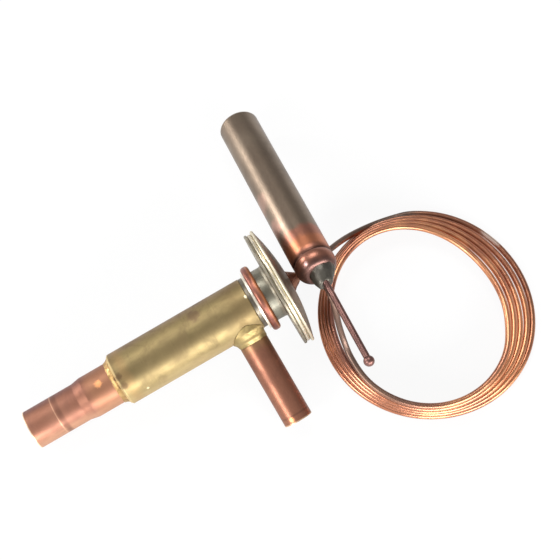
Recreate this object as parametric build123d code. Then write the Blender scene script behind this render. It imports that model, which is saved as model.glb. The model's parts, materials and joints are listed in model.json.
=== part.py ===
from build123d import *
import math
import os

# Thermostatic expansion valve with an axial outlet, a side inlet, a diaphragm head and a
# remote bulb on a coiled capillary, lying at rest on the plane z = 0.
# Millimetres. Every piece of the valve is drawn about its own axis: "a" runs along X from
# the open end of the outlet tube to the head, and the inlet tube leaves towards -Y.
# The valve is then laid down on three points: outlet rim, head rim and inlet rim.

# ---- driving dimensions -------------------------------------------------------------
# outlet tube, brazed into the end of the body
outlet_od = 12.7
outlet_wall = 1.0
outlet_exposed = 31.2
outlet_swell_start = 17.5
outlet_swell_end = 20.5
outlet_root_od = 13.8
outlet_socket_depth = 6.0

# body, turned from brass bar
body_od = 17.5
body_length = 48.1
body_chamfer = 0.6
nose_od = 15.0
nose_length = 7.1

# inlet tube, brazed into the side of the body
inlet_od = 9.52
inlet_wall = 0.9
inlet_clear_of_collar = 0.74
inlet_reach = 39.25
inlet_socket_floor = 6.1
inlet_ream = 0.2
inlet_shank_cut = 0.2

# chambers inside the body
outlet_chamber_d = 11.8
inlet_chamber_d = 10.6
guide_bore_d = 11.6
web_start = 29.2
web_length = 6.8
guide_seat = 0.3
equaliser_d = 1.0
equaliser_radius = 6.6
relief_groove_d = 14.0
relief_groove_width = 2.0
relief_groove_wall = 0.4

# seat, pin and carriage
seat_od = 5.6
seat_lip = 0.5
orifice_d = 2.4
orifice_flare = 0.6
orifice_flare_length = 1.2
pin_d = 3.0
pin_shank_d = 2.6
pin_cone_length = 2.2
pin_tip_d = 0.8
valve_lift = 0.5
closed_gap = 0.06
hub_d = 5.2
hub_length = 1.4
pin_land = 1.0
pin_seat_depth = 0.4
carrier_thickness = 2.0
carrier_width = 8.6
rod_d = 1.6
rod_pitch_radius = 4.2

# spring and its adjusting nut
nut_gap_from_tube = 1.0
nut_thickness = 4.0
nut_hex = 6.0
spring_wire_d = 1.1
spring_wire_sides = 8
spring_mean_d = 8.0
spring_turns = 3.5
pilot_length = 1.2
pilot_slack = 0.3

# rod guide and its seals
guide_length = 3.8
seal_od = 2.8
seal_thickness = 0.9
guide_vent_d = 1.2

# collar, gasket and head
collar_od = 17.2
collar_length = 1.3
flange_od = 19.5
flange_thickness = 0.6
gasket_od = 22.0
gasket_thickness = 2.1
gasket_crown = 0.55
neck_od = 17.5
neck_length = 4.3
head_od = 39.0
head_sheet = 0.9
head_rim_thickness = 3.1
diaphragm_sheet = 0.15
diaphragm_od = 37.4
diaphragm_dip = 0.45
diaphragm_free = 0.4
diaphragm_roll = 4.0
clamp_ring_id = 34.0
weld_od = 38.3
weld_crown = 0.25
dome_height = 2.7
dome_base_d = 33.0
dome_mid_rise = 0.7
dome_mid_width = 0.55
dome_foot = 1.2
head_edge = 0.22
neck_sweep = 0.9
spigot_height = 1.0
spigot_land = 1.2
boss_base_d = 7.2
boss_tip_d = 3.5
boss_length = 2.8
boss_edge = 0.3
boss_foot = 0.5
spigot_d = 4.6
plate_od = 31.0
plate_thickness = 0.7
plate_hub_d = 10.2
plate_hub_gap = 1.2
plate_edge = 0.4
plate_bevel = 1.2

# inlet strainer
ferrule_wall = 0.32
strainer_sheet = 0.3
strainer_length = 15.0
strainer_nose = 0.8
ferrule_length = 3.0
ferrule_setback = 14.0

# bulb, its neck and the charging tube
bulb_od = 13.5
bulb_barrel = 64.4
bulb_corner = 0.8
bulb_groove_depth = 0.3
bulb_groove_width = 1.0
shoulder_straight = 3.2
shoulder_radius = 3.0
neck_blob_length = 6.6
neck_blob_d = 7.8
neck_tip_d = 5.2
bulb_heading = -95.85
bulb_tip_from_head = (4.16, -9.925, 11.55)
tube_offset = 1.1
charging_od = 2.1
charging_straight = 4.0
ball_d = 3.4
ball_from_head = (2.37, -38.8, 16.84)

# capillary
capillary_od = 2.0
lead_out_straight = 2.4
coil_from_head = (33.47, -26.2)
coil_lean_heading = -29.0
coil_lean = 8.0
coil_half_across = 29.6
coil_half_deep = 33.2
coil_spread = 1.6
coil_turn_rise = 1.6
coil_turns_high = 5

# braze fillets
outlet_fillet_reach = 1.8
outlet_fillet_rise = 1.1
fillet_toe = 0.15
saddle_reach = 2.4
saddle_swell = 2.7
saddle_profile = ((1.0, 0.0), (0.42, 0.19), (0.04, 0.52), (-0.67, 0.89))

# named clearances
braze_gap = 0.05
press_gap = 0.02
running_gap = 0.05
stop_gap = 0.05
thread_gap = 0.05

# ---- places along the valve axis, worked out from the sizes above --------------------
body_start = outlet_exposed
body_end = body_start + body_length
nose_end = body_end + nose_length
tube_stop = body_start + outlet_socket_depth
web_low = body_start + web_start
web_high = web_low + web_length
guide_low = body_end + guide_seat
guide_high = guide_low + guide_length
inlet_at = body_end - inlet_od / 2 - inlet_clear_of_collar
nut_low = tube_stop + nut_gap_from_tube
nut_high = nut_low + nut_thickness

collar_end = body_end + collar_length
flange_end = collar_end + flange_thickness
gasket_end = flange_end + gasket_thickness
cup_face = gasket_end + neck_length
cup_floor = cup_face + head_sheet
rim_end = cup_face + head_rim_thickness
cap_floor = rim_end - head_sheet
dome_top = rim_end + dome_height
boss_end = dome_top + boss_length

plate_low = cup_floor + stop_gap
plate_high = plate_low + plate_thickness
plate_hub_low = guide_high + plate_hub_gap
seat_face = web_low - seat_lip
cone_slope = (pin_d - pin_tip_d) / 2 / pin_cone_length
cone_base = seat_face - (pin_d - orifice_d) / 2 / cone_slope - valve_lift - closed_gap
hub_top = cone_base - pin_land
carrier_high = hub_top - hub_length
carrier_low = carrier_high - carrier_thickness

body_r = body_od / 2
outlet_r = outlet_od / 2
inlet_r = inlet_od / 2
head_r = head_od / 2
bulb_r = bulb_od / 2
strainer_r = inlet_r - inlet_wall - inlet_ream - ferrule_wall - 2 * press_gap
capillary_r = capillary_od / 2

# ---- how the valve lies: it touches the floor at three rims ---------------------------
valve_tilt = math.atan2(head_r - outlet_r, cup_face)
mouth_height = outlet_r * math.cos(valve_tilt)
inlet_drop = mouth_height + inlet_at * math.sin(valve_tilt)
inlet_span = math.hypot(inlet_reach, inlet_r)
inlet_dip = math.asin(inlet_drop / inlet_span) - math.atan2(inlet_r, inlet_reach)
valve_roll = math.asin(math.sin(inlet_dip) / math.cos(valve_tilt))

axis_dir = Vector(math.cos(valve_tilt), 0, math.sin(valve_tilt))
level_dir = Vector(0, -1, 0)
upright_dir = Vector(-math.sin(valve_tilt), 0, math.cos(valve_tilt))
inlet_dir = level_dir * math.cos(valve_roll) - upright_dir * math.sin(valve_roll)
valve_plane = Plane(
    origin=(0, 0, mouth_height), x_dir=axis_dir, z_dir=axis_dir.cross(-inlet_dir)
)
head_tip = Vector(0, 0, mouth_height) + axis_dir * boss_end

# ---- how the bulb lies: far end on the floor, neck held over the boss ------------------
shoulder_end = bulb_barrel + shoulder_straight + shoulder_radius
neck_end = shoulder_end + neck_blob_length
bulb_tip = head_tip + Vector(*bulb_tip_from_head)
bulb_rim = bulb_r - bulb_corner
bulb_span = neck_end - bulb_corner
bulb_tilt = math.asin((bulb_tip.Z - bulb_corner) / math.hypot(bulb_rim, bulb_span))
bulb_tilt -= math.atan2(bulb_rim, bulb_span)
bulb_yaw = math.radians(bulb_heading)
bulb_dir = Vector(
    math.cos(bulb_tilt) * math.cos(bulb_yaw),
    math.cos(bulb_tilt) * math.sin(bulb_yaw),
    math.sin(bulb_tilt),
)
bulb_side = Vector(0, 0, 1).cross(bulb_dir)
bulb_plane = Plane(
    origin=bulb_tip - bulb_dir * neck_end,
    x_dir=bulb_dir,
    z_dir=bulb_dir.cross(bulb_side),
)


# ---- helpers ---------------------------------------------------------------------------
def turned(*outline):
    """A solid of revolution about X from straight-sided (a, radius) points."""
    return revolve(make_face(Polyline(*outline, close=True)), axis=Axis.X)


def ring(low, high, inner, outer):
    """A plain ring about X between two places, from its two radii."""
    return turned((low, inner), (high, inner), (high, outer), (low, outer))


def rod(low, high, radius, y=0.0, z=0.0):
    """A round bar along X, off the axis by y and z."""
    section = Plane(origin=(low, y, z), z_dir=(1, 0, 0)) * Circle(radius)
    return extrude(section, amount=high - low, dir=(1, 0, 0))


def side_turned(*outline):
    """A solid of revolution about the inlet's axis from (distance out, radius) points."""
    shape = turned(*outline)
    return Pos(inlet_at, 0, 0) * Rot(0, 0, -90) * shape


def in_valve(shape):
    """The shape laid down with the valve."""
    return valve_plane.location * shape


def in_bulb(shape):
    """The shape laid down with the bulb."""
    return bulb_plane.location * shape


def bulb_point(along, up=0.0):
    """A place in the bulb's own frame, in the frame of the whole part."""
    return bulb_plane.from_local_coords((along, 0, up))


def corner_radii(route):
    """The arc at each corner of a route: 0.45 of its shorter run over tan(half the turn)."""
    radii = []
    for before, here, after in zip(route, route[1:], route[2:]):
        turn = math.radians((here - before).get_angle(after - here))
        shorter = min((here - before).length, (after - here).length)
        radii.append(0.45 * shorter / math.tan(turn / 2))
    return radii


def tube_along(route, diameter, label):
    """A round tube's outside along straight runs joined by tangent arcs."""
    radii = corner_radii(route)
    path = FilletPolyline(*route, radius=radii)
    section = Plane(origin=route[0], z_dir=route[1] - route[0]) * Circle(diameter / 2)
    shape = sweep(section, path=path)
    share = shape.volume / (math.pi * diameter**2 / 4 * path.length)
    print(label, "radii", [round(r, 1) for r in radii])
    print(label, "length", round(path.length, 1), "volume share", round(share, 4))
    return shape


# ---- valve body and its tubes ------------------------------------------------------------
def valve_body():
    nose_r = nose_od / 2
    blank = turned(
        (body_start, 0),
        (body_start, body_r - body_chamfer),
        (body_start + body_chamfer, body_r),
        (body_end - body_chamfer / 2, body_r),
        (body_end, body_r - body_chamfer / 2),
        (body_end, nose_r),
        (nose_end - body_chamfer, nose_r),
        (nose_end, nose_r - body_chamfer),
        (nose_end, 0),
    )
    blank -= rod(body_start, tube_stop, outlet_root_od / 2 + braze_gap)
    blank -= rod(tube_stop, web_low, outlet_chamber_d / 2)
    blank -= rod(web_low, web_high, seat_od / 2 + press_gap)
    blank -= rod(web_high, guide_low, inlet_chamber_d / 2)
    blank -= rod(guide_low, nose_end, guide_bore_d / 2)
    for side in (1, -1):
        blank -= rod(web_low, web_high, rod_d / 2 + running_gap, z=side * rod_pitch_radius)
    groove_low = web_low - relief_groove_width - relief_groove_wall
    groove_high = groove_low + relief_groove_width
    blank -= rod(groove_low, groove_high, relief_groove_d / 2)
    blank -= rod(groove_high, nose_end, equaliser_d / 2, y=equaliser_radius)
    socket_r = inlet_r - inlet_shank_cut + braze_gap
    port_r = inlet_r - inlet_wall - inlet_ream
    blank -= side_turned((inlet_socket_floor, 0), (body_r + 1, 0), (body_r + 1, socket_r),
                         (inlet_socket_floor, socket_r))
    blank -= side_turned((0, 0), (inlet_socket_floor, 0), (inlet_socket_floor, port_r),
                         (0, port_r))
    return blank


def outlet_tube():
    root_r = outlet_root_od / 2
    return turned(
        (0, outlet_r - outlet_wall),
        (outlet_swell_start, outlet_r - outlet_wall),
        (outlet_swell_end, root_r - outlet_wall),
        (tube_stop, root_r - outlet_wall),
        (tube_stop, root_r),
        (outlet_swell_end, root_r),
        (outlet_swell_start, outlet_r),
        (0, outlet_r),
    )


def outlet_braze():
    root_r = outlet_root_od / 2 + press_gap
    high = min(body_r - body_chamfer, root_r + outlet_fillet_rise)
    toe = body_start - outlet_fillet_reach
    line = Polyline((toe, root_r + fillet_toe), (toe, root_r), (body_start, root_r),
                    (body_start, high))
    line += TangentArc((toe, root_r + fillet_toe), (body_start, high), tangent=(1, 0))
    return revolve(make_face(line), axis=Axis.X)


def inlet_tube():
    bore = inlet_r - inlet_wall
    step = inlet_reach - ferrule_setback
    shoulder = body_r + saddle_reach
    shank_r = inlet_r - inlet_shank_cut
    return side_turned(
        (inlet_socket_floor, bore - inlet_ream),
        (step, bore - inlet_ream),
        (step, bore),
        (inlet_reach, bore),
        (inlet_reach, inlet_r),
        (shoulder, inlet_r),
        (shoulder, shank_r),
        (inlet_socket_floor, shank_r),
    )


def inlet_braze():
    low = body_r / 2
    toe = body_r + saddle_reach - press_gap
    shank_r = inlet_r - inlet_shank_cut + press_gap
    slope = [
        (min(toe, body_r + reach * saddle_reach), inlet_r + swell * saddle_swell)
        for reach, swell in saddle_profile
    ]
    skirt = side_turned((low, shank_r), (toe, shank_r), *slope, (low, inlet_r + saddle_swell))
    skirt &= rod(body_start, body_end - body_chamfer, 2 * body_r)
    return skirt - rod(body_start, body_end, body_r + press_gap)


# ---- seat, pin and carriage -----------------------------------------------------------
def seat_insert():
    mouth = orifice_d / 2
    return turned(
        (seat_face, mouth),
        (seat_face, seat_od / 2 - seat_lip),
        (web_low, seat_od / 2),
        (web_high, seat_od / 2),
        (web_high, mouth + orifice_flare),
        (web_high - orifice_flare_length, mouth),
    )


def valve_pin():
    shank_low = carrier_low + pin_seat_depth
    return turned(
        (shank_low, 0),
        (shank_low, pin_shank_d / 2),
        (hub_top, pin_shank_d / 2),
        (hub_top, pin_d / 2),
        (cone_base, pin_d / 2),
        (cone_base + pin_cone_length, pin_tip_d / 2),
        (cone_base + pin_cone_length, 0),
    )


def pin_carrier():
    disc_r = outlet_chamber_d / 2 - running_gap
    disc = rod(carrier_low, carrier_high, disc_r)
    width = Box(3 * carrier_thickness, carrier_width, 2 * disc_r)
    disc &= Pos((carrier_low + carrier_high) / 2, 0, 0) * width
    hub = rod(carrier_high, hub_top, hub_d / 2)
    pilot_r = (spring_mean_d - spring_wire_d) / 2 - pilot_slack
    pilot = rod(carrier_low - pilot_length, carrier_low, pilot_r)
    bore_low = carrier_low + pin_seat_depth - press_gap
    bore = rod(bore_low, hub_top, pin_shank_d / 2 + press_gap)
    return disc + hub + pilot - bore


def push_rods():
    pair = [
        rod(carrier_high, plate_hub_low, rod_d / 2, z=side * rod_pitch_radius)
        for side in (1, -1)
    ]
    return Compound(pair)


def rod_guide():
    plug = ring(guide_low, guide_high, guide_vent_d / 2, guide_bore_d / 2 - thread_gap)
    for side in (1, -1):
        plug -= rod(guide_low, guide_high, rod_d / 2 + running_gap, z=side * rod_pitch_radius)
        plug -= rod(guide_low, guide_low + seal_thickness + press_gap, seal_od / 2 + press_gap,
                    z=side * rod_pitch_radius)
    return plug


def rod_seals():
    seals = []
    for side in (1, -1):
        seal = rod(guide_low, guide_low + seal_thickness, seal_od / 2, z=side * rod_pitch_radius)
        seal -= rod(guide_low, guide_low + seal_thickness, rod_d / 2 + running_gap,
                    z=side * rod_pitch_radius)
        seals.append(seal)
    return Compound(seals)


def adjusting_nut():
    nut = rod(nut_low, nut_high, outlet_chamber_d / 2 - thread_gap)
    hex_hole = Plane(origin=(nut_low, 0, 0), z_dir=(1, 0, 0)) * RegularPolygon(
        nut_hex / 2, 6, major_radius=False
    )
    return nut - extrude(hex_hole, amount=nut_thickness, dir=(1, 0, 0))


def superheat_spring():
    wire_r = spring_wire_d / 2
    low = nut_high + wire_r + stop_gap
    high = carrier_low - wire_r - stop_gap
    pitch = (high - low) / spring_turns
    coil = Helix(pitch=pitch, height=high - low, radius=spring_mean_d / 2)
    wire = RegularPolygon(wire_r, spring_wire_sides)
    section = Plane(origin=coil @ 0, z_dir=coil % 0) * wire
    return Pos(low, 0, 0) * Rot(0, 90, 0) * sweep(section, path=coil, is_frenet=True)


# ---- head -------------------------------------------------------------------------------
def gasket_seat_collar():
    bore = nose_od / 2 + thread_gap
    return turned(
        (body_end, bore),
        (flange_end, bore),
        (flange_end, flange_od / 2),
        (collar_end, flange_od / 2),
        (collar_end, collar_od / 2),
        (body_end, collar_od / 2),
    )


def gasket_ring():
    bore = nose_od / 2 + thread_gap
    flat_r = gasket_od / 2 - gasket_crown
    middle = (flange_end + gasket_end) / 2
    line = Polyline((flange_end, flat_r), (flange_end, bore), (gasket_end, bore),
                    (gasket_end, flat_r))
    line += ThreePointArc((gasket_end, flat_r), (middle, gasket_od / 2), (flange_end, flat_r))
    return revolve(make_face(line), axis=Axis.X)


def head_lower_cup():
    bore = nose_od / 2 + thread_gap
    root = neck_od / 2
    lip = cap_floor - diaphragm_sheet
    return turned(
        (gasket_end, bore),
        (cup_floor, bore),
        (cup_floor, clamp_ring_id / 2),
        (lip, clamp_ring_id / 2),
        (lip, diaphragm_od / 2),
        (cup_floor, diaphragm_od / 2),
        (cup_floor, head_r - head_edge),
        (cup_floor - head_edge, head_r),
        (cup_face + head_edge, head_r),
        (cup_face, head_r - head_edge),
        (cup_face, root + neck_sweep),
        (cup_face - neck_sweep / 4, root + neck_sweep / 4),
        (cup_face - neck_sweep, root),
        (gasket_end, root),
    )


def dome_arc(low, high, outer_r, inner_r):
    """The dome's curve from its foot to its crown."""
    middle = (low + dome_mid_rise * (high - low), dome_mid_width * outer_r)
    return ThreePointArc((low, outer_r), middle, (high, inner_r))


def head_upper_cap():
    dome_r = dome_base_d / 2
    spigot_r = spigot_d / 2
    land_r = spigot_r + spigot_land
    bore = capillary_r + braze_gap
    inner = cap_floor + braze_gap
    ceiling = dome_top - head_sheet
    spigot_top = dome_top + spigot_height
    outside = dome_arc(rim_end, dome_top, dome_r, land_r)
    inside = dome_arc(inner, ceiling, dome_r - dome_foot, spigot_r)
    spigot = Polyline((ceiling, spigot_r), (ceiling, bore), (spigot_top, bore),
                      (spigot_top, spigot_r), (dome_top, spigot_r), (dome_top, land_r))
    rim = Polyline((rim_end, dome_r), (rim_end, head_r - head_edge), (rim_end - head_edge, head_r),
                   (cap_floor + head_edge, head_r), (cap_floor, head_r - head_edge),
                   (cap_floor, clamp_ring_id / 2), (inner, dome_r - dome_foot))
    return revolve(make_face(spigot + outside + rim + inside), axis=Axis.X)


def rim_weld():
    low = cup_floor + press_gap
    high = cap_floor - press_gap
    crown = weld_od / 2 - weld_crown
    inner = diaphragm_od / 2 + press_gap
    line = Polyline((low, crown), (low, inner), (high, inner), (high, crown))
    line += ThreePointArc((high, crown), ((low + high) / 2, weld_od / 2), (low, crown))
    return revolve(make_face(line), axis=Axis.X)


def diaphragm():
    flat = cap_floor - diaphragm_sheet
    outer = diaphragm_od / 2 - press_gap
    clamped = clamp_ring_id / 2 - diaphragm_free
    dished = plate_od / 2 - diaphragm_roll
    dip = min(diaphragm_dip, flat - plate_high - stop_gap)
    return turned(
        (flat + press_gap, outer),
        (flat + press_gap, clamped),
        (flat - dip, dished),
        (flat - dip, 0),
        (flat - dip + diaphragm_sheet - 2 * press_gap, 0),
        (flat - dip + diaphragm_sheet - 2 * press_gap, dished),
        (cap_floor - press_gap, clamped),
        (cap_floor - press_gap, outer),
    )


def buffer_plate():
    return turned(
        (plate_hub_low, 0),
        (plate_hub_low, plate_hub_d / 2),
        (plate_low, plate_hub_d / 2),
        (plate_low, plate_od / 2 - plate_edge),
        (plate_low + plate_edge, plate_od / 2),
        (plate_high - plate_edge / 2, plate_od / 2),
        (plate_high, plate_od / 2 - plate_bevel),
        (plate_high, 0),
    )


def capillary_braze():
    low = dome_top + press_gap
    spigot_r = spigot_d / 2 + press_gap
    bore = capillary_r + braze_gap
    top = dome_top + spigot_height + press_gap
    return turned(
        (low, spigot_r),
        (top, spigot_r),
        (top, bore),
        (boss_end, bore),
        (boss_end, boss_tip_d / 2 - boss_edge),
        (boss_end - boss_edge, boss_tip_d / 2),
        (low + boss_foot, boss_base_d / 2 - boss_foot),
        (low, boss_base_d / 2),
    )


# ---- inlet strainer -----------------------------------------------------------------------
def inlet_strainer():
    high = inlet_reach - ferrule_setback
    low = high - strainer_length
    floor = low + strainer_sheet
    inner = strainer_r - strainer_sheet
    return side_turned((low, 0), (low, strainer_r - strainer_nose),
                       (low + strainer_nose, strainer_r), (high, strainer_r), (high, inner),
                       (floor + strainer_nose, inner), (floor, inner - strainer_nose), (floor, 0))


def strainer_ferrule():
    high = inlet_reach - ferrule_setback
    outer = inlet_r - inlet_wall - inlet_ream - press_gap
    return side_turned(
        (high - ferrule_length, strainer_r + press_gap),
        (high, strainer_r + press_gap),
        (high, outer),
        (high - ferrule_length, outer),
    )


# ---- bulb ------------------------------------------------------------------------------------
def bulb_shell():
    groove_low = bulb_barrel - bulb_groove_width / 2
    groove_high = bulb_barrel + bulb_groove_width / 2
    corner_x = bulb_barrel + shoulder_straight
    inner_r = bulb_r - shoulder_radius
    reach = shoulder_radius * math.sqrt(0.5)
    back = bulb_corner * (1 - math.sqrt(0.5))
    line = Line((0, 0), (0, bulb_r - bulb_corner))
    line += ThreePointArc((0, bulb_r - bulb_corner), (back, bulb_r - back), (bulb_corner, bulb_r))
    line += Line((bulb_corner, bulb_r), (groove_low, bulb_r))
    line += ThreePointArc((groove_low, bulb_r), (bulb_barrel, bulb_r - bulb_groove_depth),
                          (groove_high, bulb_r))
    line += Line((groove_high, bulb_r), (corner_x, bulb_r))
    line += ThreePointArc((corner_x, bulb_r), (corner_x + reach, inner_r + reach),
                          (shoulder_end, inner_r))
    line += Polyline((shoulder_end, inner_r), (shoulder_end, 0), (0, 0))
    return revolve(make_face(line), axis=Axis.X)


def bulb_neck_braze():
    root = neck_blob_d / 2
    tip = neck_tip_d / 2
    line = Polyline((neck_end, tip), (neck_end, 0), (shoulder_end, 0), (shoulder_end, root))
    line += Spline((shoulder_end, root), (shoulder_end + 0.35 * neck_blob_length, root * 0.92),
                   (neck_end - 1.0, tip * 1.08), (neck_end, tip))
    return revolve(make_face(line), axis=Axis.X)


def charging_bend():
    return Vector(*bulb_point(neck_end + charging_straight, tube_offset))


def ball_seat():
    """Where the ball is cut flat to meet the tube, facing along the tube."""
    centre = head_tip + Vector(*ball_from_head)
    along = (charging_bend() - centre).normalized()
    depth = math.sqrt((ball_d / 2) ** 2 - (charging_od / 2) ** 2)
    return Plane(origin=centre + along * depth, z_dir=along)


def charging_tube():
    start = Vector(*bulb_point(neck_end, tube_offset))
    return tube_along([start, charging_bend(), ball_seat().origin], charging_od, "charging_tube")


def charging_ball():
    centre = head_tip + Vector(*ball_from_head)
    ball = Pos(centre.X, centre.Y, centre.Z) * Sphere(ball_d / 2)
    return split(ball, bisect_by=ball_seat(), keep=Keep.BOTTOM)


# ---- capillary: two free stretches and the coil between them ---------------------------
def beside_head(x, y, height):
    """A place past the head's tip by x, across by y, at a height over the floor."""
    return Vector(head_tip.X + x, y, height)


def coil_point(across, deep, height):
    """A place over the coil: across along its lean, deep square to it, at a height."""
    lean = math.radians(coil_lean_heading)
    return beside_head(
        coil_from_head[0] + across * math.cos(lean) - deep * math.sin(lean),
        coil_from_head[1] + across * math.sin(lean) + deep * math.cos(lean),
        height,
    )


def capillary_coil():
    height = (coil_turns_high - 1) * coil_turn_rise + capillary_od
    grow = capillary_r + coil_spread / 2
    start = coil_point(-coil_lean / 2, 0, 0)
    foot = Plane(origin=start, x_dir=coil_point(0, 0, 0) - start)
    outer = Ellipse(coil_half_across + grow, coil_half_deep + grow)
    inner = Ellipse(coil_half_across - grow, coil_half_deep - grow)
    climb = coil_point(coil_lean / 2, 0, height) - start
    return extrude(foot * (outer - inner), amount=climb.length, dir=climb.normalized())


def lead_in_route():
    return [
        head_tip,
        beside_head(1.87, 0.1, 20.6),
        beside_head(3.87, 0.8, 19.0),
        beside_head(6.87, 2.1, 16.9),
        beside_head(11.27, 4.0, 14.6),
        beside_head(16.37, 6.2, 11.3),
        beside_head(22.47, 8.2, 6.9),
        beside_head(29.47, 9.5, 3.2),
        beside_head(36.47, 9.5, 1.7),
        beside_head(43.07, 7.2, 1.3),
    ]


def lead_out_route():
    return [
        Vector(*bulb_point(neck_end, -tube_offset)),
        Vector(*bulb_point(neck_end + lead_out_straight, -tube_offset)),
        beside_head(3.67, -16.0, 30.2),
        beside_head(3.37, -18.6, 25.2),
        beside_head(3.27, -20.8, 20.0),
        beside_head(3.47, -23.8, 14.9),
        beside_head(4.27, -28.2, 11.0),
        beside_head(5.87, -34.4, 8.7),
        beside_head(9.47, -41.2, 7.6),
    ]


NODES = {
    "valve_body": lambda: in_valve(valve_body()),
    "outlet_tube": lambda: in_valve(outlet_tube()),
    "outlet_braze": lambda: in_valve(outlet_braze()),
    "inlet_tube": lambda: in_valve(inlet_tube()),
    "inlet_braze": lambda: in_valve(inlet_braze()),
    "seat_insert": lambda: in_valve(seat_insert()),
    "valve_pin": lambda: in_valve(valve_pin()),
    "pin_carrier": lambda: in_valve(pin_carrier()),
    "push_rods": lambda: in_valve(push_rods()),
    "rod_guide": lambda: in_valve(rod_guide()),
    "rod_seals": lambda: in_valve(rod_seals()),
    "adjusting_nut": lambda: in_valve(adjusting_nut()),
    "superheat_spring": lambda: in_valve(superheat_spring()),
    "gasket_seat_collar": lambda: in_valve(gasket_seat_collar()),
    "gasket_ring": lambda: in_valve(gasket_ring()),
    "head_lower_cup": lambda: in_valve(head_lower_cup()),
    "head_upper_cap": lambda: in_valve(head_upper_cap()),
    "rim_weld": lambda: in_valve(rim_weld()),
    "diaphragm": lambda: in_valve(diaphragm()),
    "buffer_plate": lambda: in_valve(buffer_plate()),
    "capillary_braze": lambda: in_valve(capillary_braze()),
    "inlet_strainer": lambda: in_valve(inlet_strainer()),
    "strainer_ferrule": lambda: in_valve(strainer_ferrule()),
    "bulb_shell": lambda: in_bulb(bulb_shell()),
    "bulb_neck_braze": lambda: in_bulb(bulb_neck_braze()),
    "charging_tube": charging_tube,
    "charging_ball": charging_ball,
    "capillary_lead_in": lambda: tube_along(lead_in_route(), capillary_od, "lead_in"),
    "capillary_coil": capillary_coil,
    "capillary_lead_out": lambda: tube_along(lead_out_route(), capillary_od, "lead_out"),
}

CORD_NODES = ("capillary_lead_in", "capillary_coil", "capillary_lead_out")


def main():
    os.makedirs("parts", exist_ok=True)
    shapes = {name: make() for name, make in NODES.items()}

    # the origin is the middle of the footprint, without the capillary, on the floor
    boxes = [shape.bounding_box() for name, shape in shapes.items() if name not in CORD_NODES]
    middle_x = (min(b.min.X for b in boxes) + max(b.max.X for b in boxes)) / 2
    middle_y = (min(b.min.Y for b in boxes) + max(b.max.Y for b in boxes)) / 2
    floor = min(b.min.Z for b in boxes)
    print("origin", round(middle_x, 3), round(middle_y, 3), "lowest", round(floor, 4))
    for name, shape in shapes.items():
        export_step(Pos(-middle_x, -middle_y, -floor) * shape, f"parts/{name}.step")


main()
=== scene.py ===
"""A thermostatic expansion valve, its bulb and its coiled capillary, on a pale table."""

import json
import logging
import math
from dataclasses import dataclass
from enum import Enum
from typing import Any, Protocol, Sequence

import bmesh
import bpy
from mathutils import Matrix, Vector, noise


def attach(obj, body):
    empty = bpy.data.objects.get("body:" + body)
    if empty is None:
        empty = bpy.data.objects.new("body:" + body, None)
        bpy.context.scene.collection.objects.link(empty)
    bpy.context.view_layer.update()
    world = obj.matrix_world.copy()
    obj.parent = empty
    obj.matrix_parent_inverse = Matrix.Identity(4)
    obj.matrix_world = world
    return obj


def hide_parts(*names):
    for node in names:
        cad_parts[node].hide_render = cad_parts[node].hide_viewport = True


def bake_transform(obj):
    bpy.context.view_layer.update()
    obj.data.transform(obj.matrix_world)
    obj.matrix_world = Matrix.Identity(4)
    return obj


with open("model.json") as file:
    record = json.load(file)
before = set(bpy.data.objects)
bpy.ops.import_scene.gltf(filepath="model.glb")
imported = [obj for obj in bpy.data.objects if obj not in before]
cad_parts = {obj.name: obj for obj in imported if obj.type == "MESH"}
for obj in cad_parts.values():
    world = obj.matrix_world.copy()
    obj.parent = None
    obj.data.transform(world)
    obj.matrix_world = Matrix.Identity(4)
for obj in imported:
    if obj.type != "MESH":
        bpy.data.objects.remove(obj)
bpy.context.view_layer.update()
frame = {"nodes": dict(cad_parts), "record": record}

LOG = logging.getLogger("expansion_valve")

MM = 0.001
# A colour as a screen shows it, from 0 to 255.
Colour = tuple[int, int, int]


def linear(shown: Colour) -> tuple[float, ...]:
    """The numbers that a node takes for a colour, by the sRGB curve.

    Args:
        shown: Red, green and blue as a screen shows them.

    Returns:
        The three linear values, from 0 to 1, and an alpha of 1.
    """
    parts = [channel / 255 for channel in shown]
    return (*(part / 12.92 if part <= 0.04045 else ((part + 0.055) / 1.055) ** 2.4
              for part in parts), 1.0)


# ---- places -------------------------------------------------------------------------------------


@dataclass(frozen=True)
class Axes:
    """A right-handed set of axes in the row frame, for placing pieces and turning patterns."""

    origin: Vector
    along: Vector
    across: Vector

    @property
    def up(self) -> Vector:
        """The third axis, square to the other two."""
        return self.along.cross(self.across).normalized()

    def matrix(self) -> Matrix:
        """The matrix that takes these axes' metres to the row frame."""
        turn = Matrix((self.along, self.across, self.up)).transposed().to_4x4()
        return Matrix.Translation(self.origin) @ turn

    def point(self, along: float, across: float = 0.0, up: float = 0.0) -> Vector:
        """A place in the row frame from millimetres along these axes.

        Args:
            along: Millimetres along the first axis.
            across: Millimetres along the second axis.
            up: Millimetres along the third axis.

        Returns:
            The place, in metres, in the row frame.
        """
        return self.matrix() @ (Vector((along, across, up)) * MM)


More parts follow.
